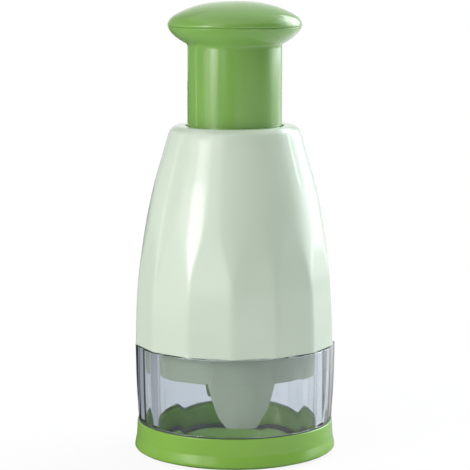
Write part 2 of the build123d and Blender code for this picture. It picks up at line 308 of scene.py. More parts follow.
def turned_tree() -> ShapeTree:
    """The tree that turns an outline about Z and cuts flats into it.

    The outline is a chain of vertices (radius, 0, height). Its attribute "flat" is the distance of the
    flats from the axis, or 0 where the wall stays round.

    Returns:
        The tree.
    """
    tree = ShapeTree(
        "Turned and facetted",
        [
            ("Joined", "NodeSocketBool", True),
            ("Facets", "NodeSocketInt", FACETS),
            ("Steps", "NodeSocketInt", 16),
            ("Turn", "NodeSocketFloat", 0.0),
            ("Crowding", "NodeSocketFloat", 0.9),
            ("Crease", "NodeSocketFloat", 0.0004),
            ("Finish", "NodeSocketMaterial", None),
        ],
    )
    w, given = tree.wire, tree.given
    points = w.add("GeometryNodeAttributeDomainSize", {"Geometry": given["Shape"]}).outputs["Point Count"]
    rows = w.math("ADD", points, given["Joined"])
    around = w.math("MULTIPLY", given["Facets"], given["Steps"])
    columns = w.math("ADD", around, 1)
    size = {"Size X": 1.0, "Size Y": 1.0, "Vertices X": rows, "Vertices Y": columns}
    grid = w.first("GeometryNodeMeshGrid", size)
    here = w.first("GeometryNodeInputPosition")
    place = w.add("ShaderNodeSeparateXYZ", {0: here}).outputs
    row = w.math("MULTIPLY", w.math("ADD", place[0], 0.5), w.math("SUBTRACT", rows, 1))
    row = w.math("MODULO", w.math("ROUND", row), points)
    column = w.math("ROUND", w.math("MULTIPLY", w.math("ADD", place[1], 0.5), around))
    facet = w.math("FLOOR", w.math("DIVIDE", w.math("ADD", column, 0.001), given["Steps"]))
    along = w.math("SUBTRACT", w.math("DIVIDE", column, given["Steps"]), facet)
    along = w.math("SUBTRACT", w.math("MULTIPLY", along, 2), 1)
    crowded = w.math("SINE", w.math("MULTIPLY", along, math.pi / 2))
    crowded = w.math("MULTIPLY", w.math("SUBTRACT", crowded, along), given["Crowding"])
    along = w.math("ADD", along, crowded)
    step = w.math("DIVIDE", 2 * math.pi, given["Facets"])
    off = w.math("MULTIPLY", along, w.math("MULTIPLY", step, 0.5))
    middle = w.math("MULTIPLY", w.math("ADD", facet, 0.5), step)
    angle = w.math("ADD", w.math("ADD", middle, off), given["Turn"])
    named = w.first("GeometryNodeInputNamedAttribute", {"Name": "flat"}, data_type="FLOAT")
    spot, flat = (
        w.first(
            "GeometryNodeSampleIndex", {"Geometry": given["Shape"], "Value": value, "Index": row}, data_type=kind
        )
        for value, kind in ((here, "FLOAT_VECTOR"), (named, "FLOAT"))
    )
    outline = w.add("ShaderNodeSeparateXYZ", {0: spot}).outputs
    reach = w.math("DIVIDE", flat, w.math("COSINE", off))
    reach = w.math("ADD", reach, w.math("LESS_THAN", flat, 1e-6))
    radius = w.math("SMOOTH_MIN", outline[0], reach, given["Crease"])
    wall = w.about_axis(radius, angle, outline[2])
    moved = w.first("GeometryNodeSetPosition", {"Geometry": grid, "Position": wall})
    merged = w.first("GeometryNodeMergeByDistance", {"Geometry": moved, "Distance": 1e-6})
    tree.close(w.first("GeometryNodeSetShadeSmooth", {"Geometry": merged}))
    return tree


def coil_tree() -> ShapeTree:
    """The tree that winds a coil spring with closed ends.

    Returns:
        The tree.
    """
    tree = ShapeTree(
        "Coil spring",
        [
            ("Low", "NodeSocketFloat", 0.0),
            ("High", "NodeSocketFloat", 0.1),
            ("Radius", "NodeSocketFloat", 0.018),
            ("Wire", "NodeSocketFloat", 0.0008),
            ("Turns", "NodeSocketFloat", 11.0),
            ("Closed turns", "NodeSocketFloat", 1.0),
            ("Steps", "NodeSocketInt", 600),
            ("Sides", "NodeSocketInt", 12),
            ("Finish", "NodeSocketMaterial", None),
        ],
    )
    w, given = tree.wire, tree.given
    line = w.first("GeometryNodeMeshLine", {"Count": given["Steps"]})
    share = w.math("DIVIDE", w.first("GeometryNodeInputIndex"), w.math("SUBTRACT", given["Steps"], 1))
    angle = w.math("MULTIPLY", w.math("MULTIPLY", share, given["Turns"]), 2 * math.pi)
    edge = w.math("DIVIDE", given["Closed turns"], given["Turns"])
    rise = w.between(share, (edge, w.math("SUBTRACT", 1.0, edge)))
    creep = w.math("MULTIPLY", given["Wire"], w.math("MULTIPLY", share, 2.0))
    low = w.math("ADD", given["Low"], given["Wire"])
    span = w.math("SUBTRACT", w.math("SUBTRACT", given["High"], given["Low"]), w.math("MULTIPLY", given["Wire"], 4.0))
    height = w.math("ADD", w.math("ADD", low, w.math("MULTIPLY", rise, span)), creep)
    spot = w.about_axis(given["Radius"], angle, height)
    moved = w.first("GeometryNodeSetPosition", {"Geometry": line, "Position": spot})
    curve = w.first("GeometryNodeMeshToCurve", {0: moved})
    ring = w.first("GeometryNodeCurvePrimitiveCircle", {"Resolution": given["Sides"], "Radius": given["Wire"]})
    tube = w.first("GeometryNodeCurveToMesh", {"Curve": curve, "Profile Curve": ring, "Fill Caps": True})
    tree.close(w.first("GeometryNodeSetShadeSmooth", {"Geometry": tube}))
    return tree


def ring_tree() -> ShapeTree:
    """The tree that repeats a small shape round the axis.

    Returns:
        The tree.
    """
    tree = ShapeTree(
        "Copies round the axis",
        [
            ("Count", "NodeSocketInt", 4),
            ("Turn", "NodeSocketFloat", 0.0),
            ("Finish", "NodeSocketMaterial", None),
        ],
    )
    w, given = tree.wire, tree.given
    spots = w.first("GeometryNodePoints", {"Count": given["Count"]})
    angle = w.math("DIVIDE", w.math("MULTIPLY", w.first("GeometryNodeInputIndex"), 2 * math.pi), given["Count"])
    turned = w.first("ShaderNodeCombineXYZ", {2: w.math("ADD", angle, given["Turn"])})
    copies = {"Points": spots, "Instance": given["Shape"], "Rotation": turned}
    tree.close(w.first("GeometryNodeInstanceOnPoints", copies))
    return tree


# Finishes


def shade(colour: Colour, share: float) -> Colour:
    """Darken or lighten a colour, up to white."""
    return tuple(min(1.0, part * share) for part in colour)


def drawn(name: str, draw: Callable[[Wiring], Socket]) -> bpy.types.Material:
    """Make a material.

    Args:
        name: The material's name.
        draw: Adds the nodes and gives the surface.

    Returns:
        The material.
    """
    material = bpy.data.materials.new(name)
    w = Wiring.opened(material)
    w.add("ShaderNodeOutputMaterial", {"Surface": draw(w)})
    return material


@dataclass(frozen=True)
class MouldedPlastic:
    """Moulded plastic, from glossy to satin, with its ripple and grain in millimetres."""

    name: str
    colour: Colour
    roughness: float = 0.2
    spread: float = 0.05
    mottle: float = 0.03
    ripple: float = 0.02
    grain: float = 0.0

    def surface(self, w: Wiring) -> Socket:
        """Wire the plastic: slow colour drift, uneven polish and a trace of mould ripple.

        Args:
            w: The material's wiring.

        Returns:
            The surface.
        """
        where = w.add("ShaderNodeTexCoord").outputs["Object"]
        dark, light = (shade(self.colour, share) for share in (1 - self.mottle, 1 + self.mottle))
        colour = w.ramp(w.noise(where, 22.0, 2.0), ((0.3, dark), (0.7, light)))
        matt = (max(0.02, self.roughness - self.spread), self.roughness + self.spread)
        polish = w.between(w.noise(where, 180.0, 3.0), (0.3, 0.7), matt)
        bump = w.bump(w.noise(where, 45.0, 1.0), self.ripple)
        if self.grain:
            bump = w.bump(w.noise(where, 2600.0, 2.0), self.grain, Normal=bump)
        return w.first("ShaderNodeBsdfPrincipled", {"Base Color": colour, "Roughness": polish, "Normal": bump})


@dataclass(frozen=True)
class ClearPlastic:
    """Thick clear plastic that lets lamps through to what it holds."""

    name: str
    tint: Colour = (0.97, 0.975, 0.98)
    bounce: Colour = (0.85, 0.86, 0.88)
    roughness: float = 0.015
    ior: float = 1.57

    def surface(self, w: Wiring) -> Socket:
        """Wire the clear plastic, with faint flow lines of the mould.

        Args:
            w: The material's wiring.

        Returns:
            The surface.
        """
        where = w.add("ShaderNodeTexCoord").outputs["Object"]
        flow = w.first("ShaderNodeMapping", {"Vector": where, "Scale": (1.0, 1.0, 0.25)})
        wall = w.first(
            "ShaderNodeBsdfPrincipled",
            {
                "Base Color": (*self.tint, 1),
                "Roughness": self.roughness,
                "IOR": self.ior,
                "Transmission Weight": 1.0,
                "Normal": w.bump(w.noise(flow, 90.0, 1.0), 0.01),
            },
        )
        path = w.add("ShaderNodeLightPath").outputs
        colour = w.mix(path["Is Diffuse Ray"], (*self.tint, 1), (*self.bounce, 1))
        open_way = w.first("ShaderNodeBsdfTransparent", {"Color": colour})
        let = w.math("MAXIMUM", path["Is Shadow Ray"], path["Is Diffuse Ray"])
        return w.first("ShaderNodeMixShader", {0: let, 1: wall, 2: open_way})


@dataclass(frozen=True)
class WorkedSteel:
    """Turned, drawn or ground steel."""

    name: str
    colour: Colour = (0.62, 0.62, 0.63)
    roughness: float = 0.28
    stretch: Spot = (1.0, 1.0, 12.0)
    scale: float = 260.0

    def surface(self, w: Wiring) -> Socket:
        """Wire the steel, with fine marks along one direction.

        Args:
            w: The material's wiring.

        Returns:
            The surface.
        """
        where = w.add("ShaderNodeTexCoord").outputs["Object"]
        lines = w.first("ShaderNodeMapping", {"Vector": where, "Scale": self.stretch})
        marks = w.noise(lines, self.scale, 3.0)
        parts = {
            "Base Color": w.ramp(marks, ((0.3, shade(self.colour, 0.86)), (0.7, shade(self.colour, 1.12)))),
            "Metallic": 1.0,
            "Roughness": w.between(marks, (0, 1), (self.roughness * 0.7, self.roughness * 1.3)),
            "Normal": w.bump(marks, 0.004),
        }
        return w.first("ShaderNodeBsdfPrincipled", parts)


# Outlines and meshes


def through(points: Sequence[tuple[float, float]], at: float) -> float:
    """The height of a smooth curve through points whose first numbers rise.

    Args:
        points: The points (place, height).
        at: The place to read.

    Returns:
        The curve's height there, by a cubic with slopes from the neighbours.
    """
    last = len(points) - 1
    k = max(i for i in range(last) if points[i][0] <= at or i == 0)
    (x0, y0), (x1, y1) = points[k], points[k + 1]
    before, after = points[max(k - 1, 0)], points[min(k + 2, last)]
    slope0 = (y1 - before[1]) / (x1 - before[0])
    slope1 = (after[1] - y0) / (after[0] - x0)
    t, span = (at - x0) / (x1 - x0), x1 - x0
    return (
        (2 * t**3 - 3 * t**2 + 1) * y0
        + (t**3 - 2 * t**2 + t) * span * slope0
        + (3 * t**2 - 2 * t**3) * y1
        + (t**3 - t**2) * span * slope1
    )


def rounded(corners: Sequence[Corner], ends: Ends) -> list[Spot]:
    """Round the corners of an outline and hold the faces beside them flat.

    Args:
        corners: (radius, height), then a fillet radius and the distance of the flats, both 0 if left out.
        ends: Whether the outline is a loop or starts and ends on the axis.

    Returns:
        The points (radius, height, distance of the flats), in millimetres.
    """
    full = [tuple(c) + (0.0,) * (4 - len(c)) for c in corners]
    found: list[Spot] = []
    count = len(full)
    for k, (r, z, fillet, flat) in enumerate(full):
        if not fillet or (ends is Ends.ON_AXIS and k in (0, count - 1)):
            found.append((r, z, flat))
            continue
        here = Vector((r, z))
        to_last = Vector(full[k - 1][:2]) - here
        to_next = Vector(full[(k + 1) % count][:2]) - here
        half = to_last.angle(to_next) / 2
        run = min(fillet / math.tan(half), to_last.length * 0.45, to_next.length * 0.45)
        size = run * math.tan(half)
        back, ahead = to_last.normalized(), to_next.normalized()
        start, stop = here + back * run, here + ahead * run
        centre = here + (back + ahead).normalized() * size / math.sin(half)
        a, b = start - centre, stop - centre
        sweep = a.angle_signed(b)
        hold = 0.25 * run
        found.append((*(start + back * hold), flat))
        for s in range(FILLET_STEPS + 1):
            spot = centre + Matrix.Rotation(-sweep * s / FILLET_STEPS, 2) @ a
            found.append((*spot, flat))
        found.append((*(stop + ahead * hold), flat))
    return found


def new_object(name: str, data: bpy.types.ID) -> Object:
    """Put a mesh, a lamp or a camera in the scene under a name.

    Args:
        name: The object's name.
        data: Its mesh, lamp or camera.

    Returns:
        The object.
    """
    obj = bpy.data.objects.new(name, data)
    bpy.context.scene.collection.objects.link(obj)
    return obj


def made(name: str, work: bmesh.types.BMesh) -> Object:
    """Make a finished working mesh an object.

    Args:
        name: The object's name.
        work: The working mesh, which is freed.

    Returns:
        The object.
    """
    mesh = bpy.data.meshes.new(name)
    work.to_mesh(mesh)
    work.free()
    return new_object(name, mesh)


def outward(obj: Object) -> Object:
    """Merge doubles and turn every face outwards.

    Args:
        obj: The object.

    Returns:
        The same object.
    """
    work = bmesh.new()
    work.from_mesh(obj.data)
    bmesh.ops.remove_doubles(work, verts=work.verts, dist=1e-7)
    bmesh.ops.dissolve_degenerate(work, edges=work.edges, dist=1e-8)
    bmesh.ops.recalc_face_normals(work, faces=work.faces)
    work.to_mesh(obj.data)
    work.free()
    return obj


@dataclass
class Workshop:
    """The shape trees and finishes that the pieces share."""

    turned: ShapeTree = field(default_factory=turned_tree)
    coil: ShapeTree = field(default_factory=coil_tree)
    ring: ShapeTree = field(default_factory=ring_tree)
    finishes: dict[str, bpy.types.Material] = field(default_factory=dict)

    def stock(self, *finishes: Any) -> None:
        """Build the finishes and keep them by name."""
        for finish in finishes:
            self.finishes[finish.name] = drawn(finish.name, finish.surface)

    def turn(
        self,
        name: str,
        corners: Sequence[Corner],
        finish: str,
        ends: Ends = Ends.JOINED,
        turn: float = 0.0,
        facets: int = FACETS,
        steps: int = 12,
        crease: float = 0.35,
        crowding: float = 0.0,
    ) -> Object:
        """Turn an outline about the axis.

        Args:
            name: The piece's name.
            corners: The outline, as for rounded.
            finish: The finish's name.
            ends: Whether the outline is a loop or starts and ends on the axis.
            turn: Angle of the first ridge, in radians.
            facets: How many flats go round.
            steps: Columns of faces to each facet.
            crease: How softly two flats meet, in millimetres.
            crowding: How far the columns crowd towards the ridges, from 0 to 1.

        Returns:
            The new piece.
        """
        outline = rounded(corners, ends)
        mesh = bpy.data.meshes.new(name)
        mesh.from_pydata([(r * MM, 0.0, z * MM) for r, z, _ in outline], [], [])
        flats = mesh.attributes.new("flat", "FLOAT", "POINT")
        flats.data.foreach_set("value", [flat * MM for _, _, flat in outline])
        obj = self.turned.run(
            new_object(name, mesh),
            Joined=ends is Ends.JOINED,
            Facets=facets,
            Steps=steps,
            Turn=turn,
            Crowding=crowding,
            Crease=crease * MM,
            Finish=self.finishes[finish],
        )
        return outward(obj)

    def join(self, name: str, parts: Iterable[Object]) -> Object:
        """Join pieces that touch into one object of the first one's finish.

        Args:
            name: The new object's name.
            parts: The pieces, which are used up.

        Returns:
            The joined object.
        """
        work = bmesh.new()
        finish = None
        for part in parts:
            work.from_mesh(part.data)
            finish = finish or part.data.materials[0]
            bpy.data.objects.remove(part)
        for face in work.faces:
            face.material_index = 0
            face.smooth = True
        whole = made(name, work)
        whole.data.materials.append(finish)
        return whole

    def settle(self, obj: Object, body: Body, slot: str, *nodes: str) -> Object:
        """Make a piece ride on its body and stand for its CAD nodes.

        Args:
            obj: The finished piece.
            body: The body it rides on.
            slot: The record's material slot; not used.
            *nodes: The CAD nodes it replaces.

        Returns:
            The piece.
        """
        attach(obj, body.value)
        if nodes:
            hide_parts(*nodes)
        LOG.info("%s: %d faces on body %s", obj.name, len(obj.data.polygons), body.value)
        return obj


def slab(
    rows: Sequence[float],
    half_width: Callable[[float], float],
    inner: float,
    outer: float,
    columns: int,
    name: str,
) -> Object:
    """A closed panel that wraps round the axis at the front, drawn as seen from the front.

    Args:
        rows: Heights, from low to high, in millimetres.
        half_width: Half the panel's width at a height, as seen from the front.
        inner: Radius of its inner face.
        outer: Radius of its outer face.
        columns: Faces across.
        name: The object's name.

    Returns:
        The panel, with its outer and inner face and its edge.
    """
    work = bmesh.new()
    sheets = []
    for radius in (outer, inner):
        sheet = []
        for z in rows:
            wide = half_width(z)
            across = [wide * (2 * c / columns - 1) for c in range(columns + 1)]
            sheet.append([work.verts.new((x * MM, -math.sqrt(radius**2 - x**2) * MM, z * MM)) for x in across])
        sheets.append(sheet)
    front, back = sheets
    high = len(rows) - 1
    for sheet in sheets:
        for i in range(high):
            for j in range(columns):
                work.faces.new((sheet[i][j], sheet[i][j + 1], sheet[i + 1][j + 1], sheet[i + 1][j]))
    for i in (0, high):
        for j in range(columns):
            work.faces.new((front[i][j], front[i][j + 1], back[i][j + 1], back[i][j]))
    for j in (0, columns):
        for i in range(high):
            work.faces.new((front[i][j], front[i + 1][j], back[i + 1][j], back[i][j]))
    bmesh.ops.recalc_face_normals(work, faces=work.faces)
    return made(name, work)


def block(low: Sequence[float], high: Sequence[float], name: str, soft: float = 0.3) -> Object:
    """A block between two corners, in millimetres, with its edges rounded.

    Args:
        low: The lowest corner.
        high: The highest corner.
        name: The object's name.
        soft: How far the edges are rounded.

    Returns:
        The block.
    """
    work = bmesh.new()
    bmesh.ops.create_cube(work, size=1.0)
    for vert in work.verts:
        for axis in range(3):
            share = vert.co[axis] + 0.5
            vert.co[axis] = (low[axis] + (high[axis] - low[axis]) * share) * MM
    bmesh.ops.bevel(work, geom=work.edges, offset=soft * MM, segments=3, profile=0.5, affect="EDGES")
    return made(name, work)


def spun(obj: Object, degrees: float) -> Object:
    """Turn an object's mesh about the axis."""
    obj.data.transform(Matrix.Rotation(math.radians(degrees), 4, "Z"))
    return obj


def edged(obj: Object, width: float) -> Object:
    """Round an object's sharp edges by a width in millimetres and keep the result.

    Args:
        obj: The object.
        width: The rounding's width.

    Returns:
        The same object.
    """
    bevel = obj.modifiers.new("Edges", "BEVEL")
    bevel.width = width * MM
    bevel.segments = 3
    bevel.limit_method = "ANGLE"
    bevel.angle_limit = math.radians(40)
    bevel.harden_normals = False
    return flattened(obj)


# Sub-assemblies


@dataclass
class Base:
    """The green dish, its pad, the seal in it, dark rings that paint the shade of the groove and of the gap under the
    cup, and the foot under it.
    """

    heel: float = 0.4
    rim_top: float = 16.4
    rim_inner: float = 48.6
    groove: float = 2.8
    pad: float = 38.6
    pad_low: float = 3.0
    pad_high: float = 5.0
    # The collar is a dark seal ring round the pad that also paints the shade of the groove.
    collar: float = 44.8
    collar_width: float = 3.2
    collar_chamfer: float = 0.9
    collar_top: float = 6.3
    # The lip is a dark ring on the rim that paints the shadow of the gap under the cup's ledge.
    lip: tuple[float, float] = (48.7, 50.3)
    shadow_lip_above_rim: tuple[float, float] = (0.05, 0.25)
    sole_inner: float = 45.95
    sole_outer: tuple[float, float] = (47.2, 49.9)
    sole_top: float = 1.4

    def dish(self) -> list[Corner]:
        """The dish's outline.

        Returns:
            The corners, counter-clockwise from the lower edge.
        """
        outside = [(50.7, 1.15, 0.2), (52.4, 2.2, 1.4), (52.0, 4.4, 2.0), (51.35, 7.6, 3.0), (51.1, 10.8, 4.0)]
        rim = [(50.8, self.rim_top, 0.6), (49.7, self.rim_top, 0.3), (self.rim_inner, 14.2, 0.4)]
        inside = [
            (self.rim_inner, self.groove, 0.3),
            (self.pad, self.groove, 0.05),
            (self.pad, self.pad_low, 0.05),
            (0.0, self.pad_low),
        ]
        ring = [(44.2, 1.2, 0.3), (44.8, self.heel, 0.2), (45.9, self.heel, 0.2), (45.9, self.sole_top)]
        return outside + rim + inside + [(0.0, 1.2)] + ring + [(50.1, self.sole_top, 0.1), (50.25, 1.15, 0.05)]

    def seal(self) -> tuple[list[Corner], list[Corner]]:
        """The outlines of the collar round the pad, a dark seal that also paints the groove's shade, and of the lip
        on the rim, a dark ring that paints the shadow under the cup's ledge.

        Returns:
            The two lists of corners.
        """
        inner, chamfer = self.collar - self.collar_width, self.collar - self.collar_chamfer
        collar = [
            (inner, self.pad_high),
            (self.collar, self.pad_high),
            (self.collar, self.collar_top),
            (chamfer, self.collar_top),
        ]
        low, high = (self.rim_top + gap for gap in self.shadow_lip_above_rim)
        near, far = self.lip
        return collar, [(near, low), (far, low), (far, high), (near, high)]

    def build(self, shop: Workshop) -> None:
        """Make the dish, the pad, the seal's collar, which also paints the groove's shade, the lip, which paints the
        shadow under the cup's ledge, and the foot.

        Args:
            shop: The shape trees and finishes.
        """
        top, bottom = self.pad_high, self.pad_low
        pad = [(0.0, top), (self.pad, top, 0.4), (self.pad, bottom, 0.2), (0.0, bottom)]
        collar, lip = self.seal()
        tip, wide = self.sole_outer
        sole = [(wide, self.sole_top), (tip, 0.0), (self.sole_inner, 0.0), (self.sole_inner, self.sole_top)]
        for name, outline, ends, finish, slot, *nodes in (
            ("base_dish", self.dish(), Ends.JOINED, "base_green", "green_plastic", "base_cap"),
            ("pad_disc", pad, Ends.ON_AXIS, "pad_green", "pad_plastic", "cutting_pad"),
            # Dark collar: a seal that also paints the groove's shade round the pad.
            ("seal_collar", collar, Ends.JOINED, "seal_rubber", "seal_rubber"),
            ("foot", sole, Ends.JOINED, "foot_rubber", "foot_rubber", "foot_ring"),
            # Dark lip: painted shadow of the gap between the rim and the cup's ledge.
            ("seal_lip", lip, Ends.JOINED, "seal_rubber", "seal_rubber"),
        ):
            shop.settle(shop.turn(name, outline, finish, ends), Body.BASE, slot, *nodes)


@dataclass
class Cup:
    """The clear cup: facets outside, a round bore, a spigot below and a neck above."""

    bore: float = 45.0
    spigot: float = 48.2
    low: float = 4.1
    ledge: float = 16.9
    shoulder: float = 56.7
    neck: float = 47.2
    neck_top: float = 61.0
    turn: float = -7.5
    crease: float = 0.22
    chamfer: float = 0.25
    ridge: Stations = ((16.9, 50.7), (36.0, 51.8), (56.7, 52.3))
    heights: tuple[float, ...] = (17.15, 17.4, 20, 24, 28, 32, 36, 40, 44, 48, 52, 56.2, 56.45)
    lug: tuple[Spot, Spot] = ((46.7, -3.5, 58.2), (48.1, 3.5, 59.8))
    lug_bearings: tuple[float, ...] = (15, 105, 195, 285)

    def wall(self) -> list[Corner]:
        """The facetted wall, as rows from the ledge up.

        Returns:
            The corners, with the distance of the flats.
        """
        rows: list[Corner] = []
        for z in self.heights:
            ridge = through(self.ridge, z)
            rows.append((ridge - self.crease, z, 0.0, ridge * math.cos(math.pi / CUP_FACETS)))
        for at, row, z in ((0, rows[0], self.ledge), (len(rows) + 1, rows[-1], self.shoulder)):
            rows.insert(at, (row[0] - self.chamfer, z, 0.0, row[3] - self.chamfer))
        return rows

    def build(self, shop: Workshop) -> None:
        """Make the cup, with the lugs on its neck.

        Args:
            shop: The shape trees and finishes.
        """
        below = [(self.spigot, self.low, 0.4), (self.spigot, self.ledge, 0.2)]
        above = [
            (self.neck, self.shoulder, 0.2),
            (self.neck, self.neck_top, 0.4),
            (self.bore, self.neck_top, 0.4),
            (self.bore, self.low, 0.4),
        ]
        cup = shop.turn(
            "cup_wall",
            below + self.wall() + above,
            "clear",
            turn=FRONT + math.radians(self.turn),
            facets=CUP_FACETS,
            steps=16,
            crease=self.crease,
            crowding=0.9,
        )
        lugs = [spun(block(*self.lug, "lug"), bearing) for bearing in self.lug_bearings]
        shop.settle(shop.join("clear_wall", [cup, *lugs]), Body.CUP, "clear_plastic", "clear_cup")


@dataclass
class Housing:
    """The pale housing, with arched facets outside and guide ribs inside."""

    low: float = 57.0
    top: float = 169.7
    turn: float = -1.55
    crease: float = 0.22
    bore: float = 25.2
    wall_span: tuple[float, float] = (57.6, 165.0)
    wall_rows: int = 96
    arches_top: float = 132.0
    ridge: Stations = (
        (57.0, 52.35), (60.5, 52.08), (73.0, 51.85), (88.0, 51.00), (100.5, 49.30), (115.5, 46.65),
        (128.6, 44.10), (141.0, 41.20), (149.4, 38.78), (157.6, 36.38), (165.2, 34.25),
    )  # fmt: skip
    flat: Stations = (
        (56.0, 51.05), (60.5, 50.78), (73.0, 50.55), (88.0, 49.72), (95.6, 49.00), (104.5, 47.92),
        (110.0, 47.22), (116.0, 46.38), (120.0, 45.77), (126.0, 44.90), (132.0, 43.95),
    )  # fmt: skip
    cavity: Stations = (
        (55.0, 48.70), (66.0, 48.55), (76.0, 48.15), (88.0, 47.15), (100.0, 45.70), (112.0, 43.60),
        (124.0, 40.90), (136.0, 37.90), (148.0, 34.60), (158.0, 32.10), (167.2, 30.70),
    )  # fmt: skip
    rib_span: tuple[float, float] = (104.0, 150.0)
    rib_steps: int = 8
    rib_beside: float = 5.4
    rib_half: float = 0.9
    rib_sunk: float = 0.8
    boss_at: float = 44.8
    boss_turn: float = 45.0

    def skin(self, shop: Workshop) -> Object:
        """Turn the wall: facets outside, the collar for the stem, and the hollow.

        Args:
            shop: The shape trees and finishes.

        Returns:
            The wall.
        """
        outside: list[Corner] = []
        start, end = self.wall_span
        for k in range(self.wall_rows + 1):
            z = start + (end - start) * k / self.wall_rows
            radius = through(self.ridge, z)
            flat = through(self.flat, z) if z < self.arches_top else radius + 2
            outside.append((min(radius, flat / HALF_FACET - self.crease), z, 0.0, flat))
        lip = [(51.6, self.low, 0.0, 50.4), (51.95, 57.05, 0.0, 50.65), (52.25, 57.3, 0.0, 50.95)]
        shoulder = [(33.3, 167.8, 3.0), (30.6, self.top, 2.5), (self.bore, self.top, 0.7)]
        collar = [(self.bore, 167.0, 0.2), (26.3, 167.0), (26.3, 149.0, 0.2), (28.6, 149.0, 0.3), (28.6, 167.2, 0.3)]
        inside = [(30.7, 167.2, 0.8)] + [(through(self.cavity, z), z) for z in range(164, 57, -4)]
        mouth = [(48.7, 57.3), (48.95, self.low)]
        return shop.turn(
            "housing_wall",
            lip + outside + shoulder + collar + inside + mouth,
            "pale_mint",
            turn=FRONT + math.radians(self.turn),
            steps=16,
            crease=self.crease,
            crowding=0.85,
        )

    def ribs(self) -> list[Object]:
        """The four guide ribs inside, in a pair on each side.

        Returns:
            The ribs.
        """
        found = []
        low, high = self.rib_span
        for side, y in ((side, y) for side in (0, 180) for y in (-self.rib_beside, self.rib_beside)):
            work = bmesh.new()
            rings = []
            for k in range(self.rib_steps + 1):
                z = low + (high - low) * k / self.rib_steps
                ends = (self.bore, through(self.cavity, z) + self.rib_sunk)
                corners = zip(ends + ends[::-1], (-self.rib_half,) * 2 + (self.rib_half,) * 2)
                rings.append([work.verts.new((x * MM, (y + s) * MM, z * MM)) for x, s in corners])
            for a, b in zip(rings, rings[1:]):
                for j in range(4):
                    work.faces.new((a[j], a[(j + 1) % 4], b[(j + 1) % 4], b[j]))
            work.faces.new(rings[0])
            work.faces.new(rings[-1])
            bmesh.ops.recalc_face_normals(work, faces=work.faces)
            found.append(spun(edged(made("guide_rib", work), 0.25), side))
        return found

    def bosses(self, shop: Workshop) -> Object:
        """The four screw bosses, as one ring of copies.

        Args:
            shop: The shape trees and finishes.

        Returns:
            The bosses.
        """
        outline = [(0.0, 82.0), (3.9, 82.0, 0.4), (3.9, 64.6, 0.2), (1.5, 64.6, 0.2), (1.5, 76.0), (0.0, 76.0)]
        boss = shop.turn("boss", outline, "pale_mint", Ends.ON_AXIS, steps=2)
        boss.data.transform(Matrix.Translation((self.boss_at * MM, 0, 0)))
        return shop.ring.run(boss, Count=4, Turn=math.radians(self.boss_turn), Finish=shop.finishes["pale_mint"])

    def build(self, shop: Workshop) -> None:
        """Make the housing."""
        shell = shop.join("housing", [self.skin(shop), self.bosses(shop), *self.ribs()])
        shop.settle(shell, Body.HEAD, "mint_plastic", "housing_shell")


@dataclass
class Guard:
    """The grey-green skirt with two legs, its flange, the can above and the deck."""

    outer: float = 42.0
    inner: float = 40.6
    low: float = 42.6
    lip: float = 38.8
    flange: float = 47.6
    flange_low: float = 62.6
    flange_top: float = 64.6
    can: tuple[float, float] = (36.9, 38.5)
    deck: tuple[float, float] = (97.5, 100.0)
    shaft: float = 3.35
    turn: float = 4.5
    raised: float = 42.5
    leg_half: Stations = (
        (20.6, 6.2), (20.8, 7.2), (21.2, 7.9), (21.8, 8.5), (23.6, 9.5), (30.0, 11.9), (34.5, 13.4),
        (42.4, 15.6), (44.0, 16.1),
    )  # fmt: skip
    leg_tip: tuple[float, ...] = (20.6, 20.8, 21.2, 21.8, 22.6, 23.6)
    panel_low: float = 43.2
    panel_inner: float = 41.6
    panel_half: float = 14.3
    panel_flare: tuple[float, float] = (2.6, 2.2)

    def ring(self, shop: Workshop) -> Object:
        """Turn the skirt, flange, can and deck.

        Args:
            shop: The shape trees and finishes.

        Returns:
            The ring.
        """
        (can_in, can_out), (deck_low, deck_top) = self.can, self.deck
        corners = [
            (self.outer, self.low, 0.6),
            (self.outer, self.flange_low, 0.3),
            (self.flange, self.flange_low, 0.3),
            (self.flange, self.flange_top, 0.3),
            (can_out, self.flange_top, 0.3),
            (can_out, deck_top, 0.6),
            (self.shaft, deck_top, 0.2),
            (self.shaft, deck_low, 0.2),
            (can_in, deck_low, 0.8),
            (can_in, self.flange_low, 0.3),
            (self.inner, self.flange_low, 0.4),
            (self.inner, self.low + 0.5, 0.1),
            (self.lip, self.low + 0.5, 0.1),
            (self.lip, self.low, 0.1),
        ]
        return shop.turn("guard_skirt", corners, "guard_green")

    def leg(self) -> Object:
        """One leg at the front.

        Returns:
            The leg.
        """
        rows = [*self.leg_tip, *(25.0 + 1.9 * k for k in range(11))]
        leg = slab(rows, lambda z: through(self.leg_half, z), self.inner, self.raised, 16, "leg")
        return edged(leg, 0.45)

    def panel(self) -> Object:
        """The raised panel that carries the leg up the skirt, flared where the leg begins.

        Returns:
            The panel.
        """
        rise, flare = self.panel_flare
        rows = [self.panel_low + k for k in range(21)]

        def half(z: float) -> float:
            """Half the panel's width at a height."""
            return self.panel_half + flare * max(0.0, 1 - (z - self.panel_low) / rise) ** 2

        return edged(slab(rows, half, self.panel_inner, self.raised, 16, "panel"), 0.35)

    def build(self, shop: Workshop) -> None:
        """Make the guard.

        Args:
            shop: The shape trees and finishes.
        """
        pieces = [self.ring(shop)]
        for side in (0, 180):
            pieces += [spun(self.leg(), self.turn + side), spun(self.panel(), self.turn + side)]
        shop.settle(shop.join("guard", pieces), Body.HEAD, "guard_plastic", "blade_guard")


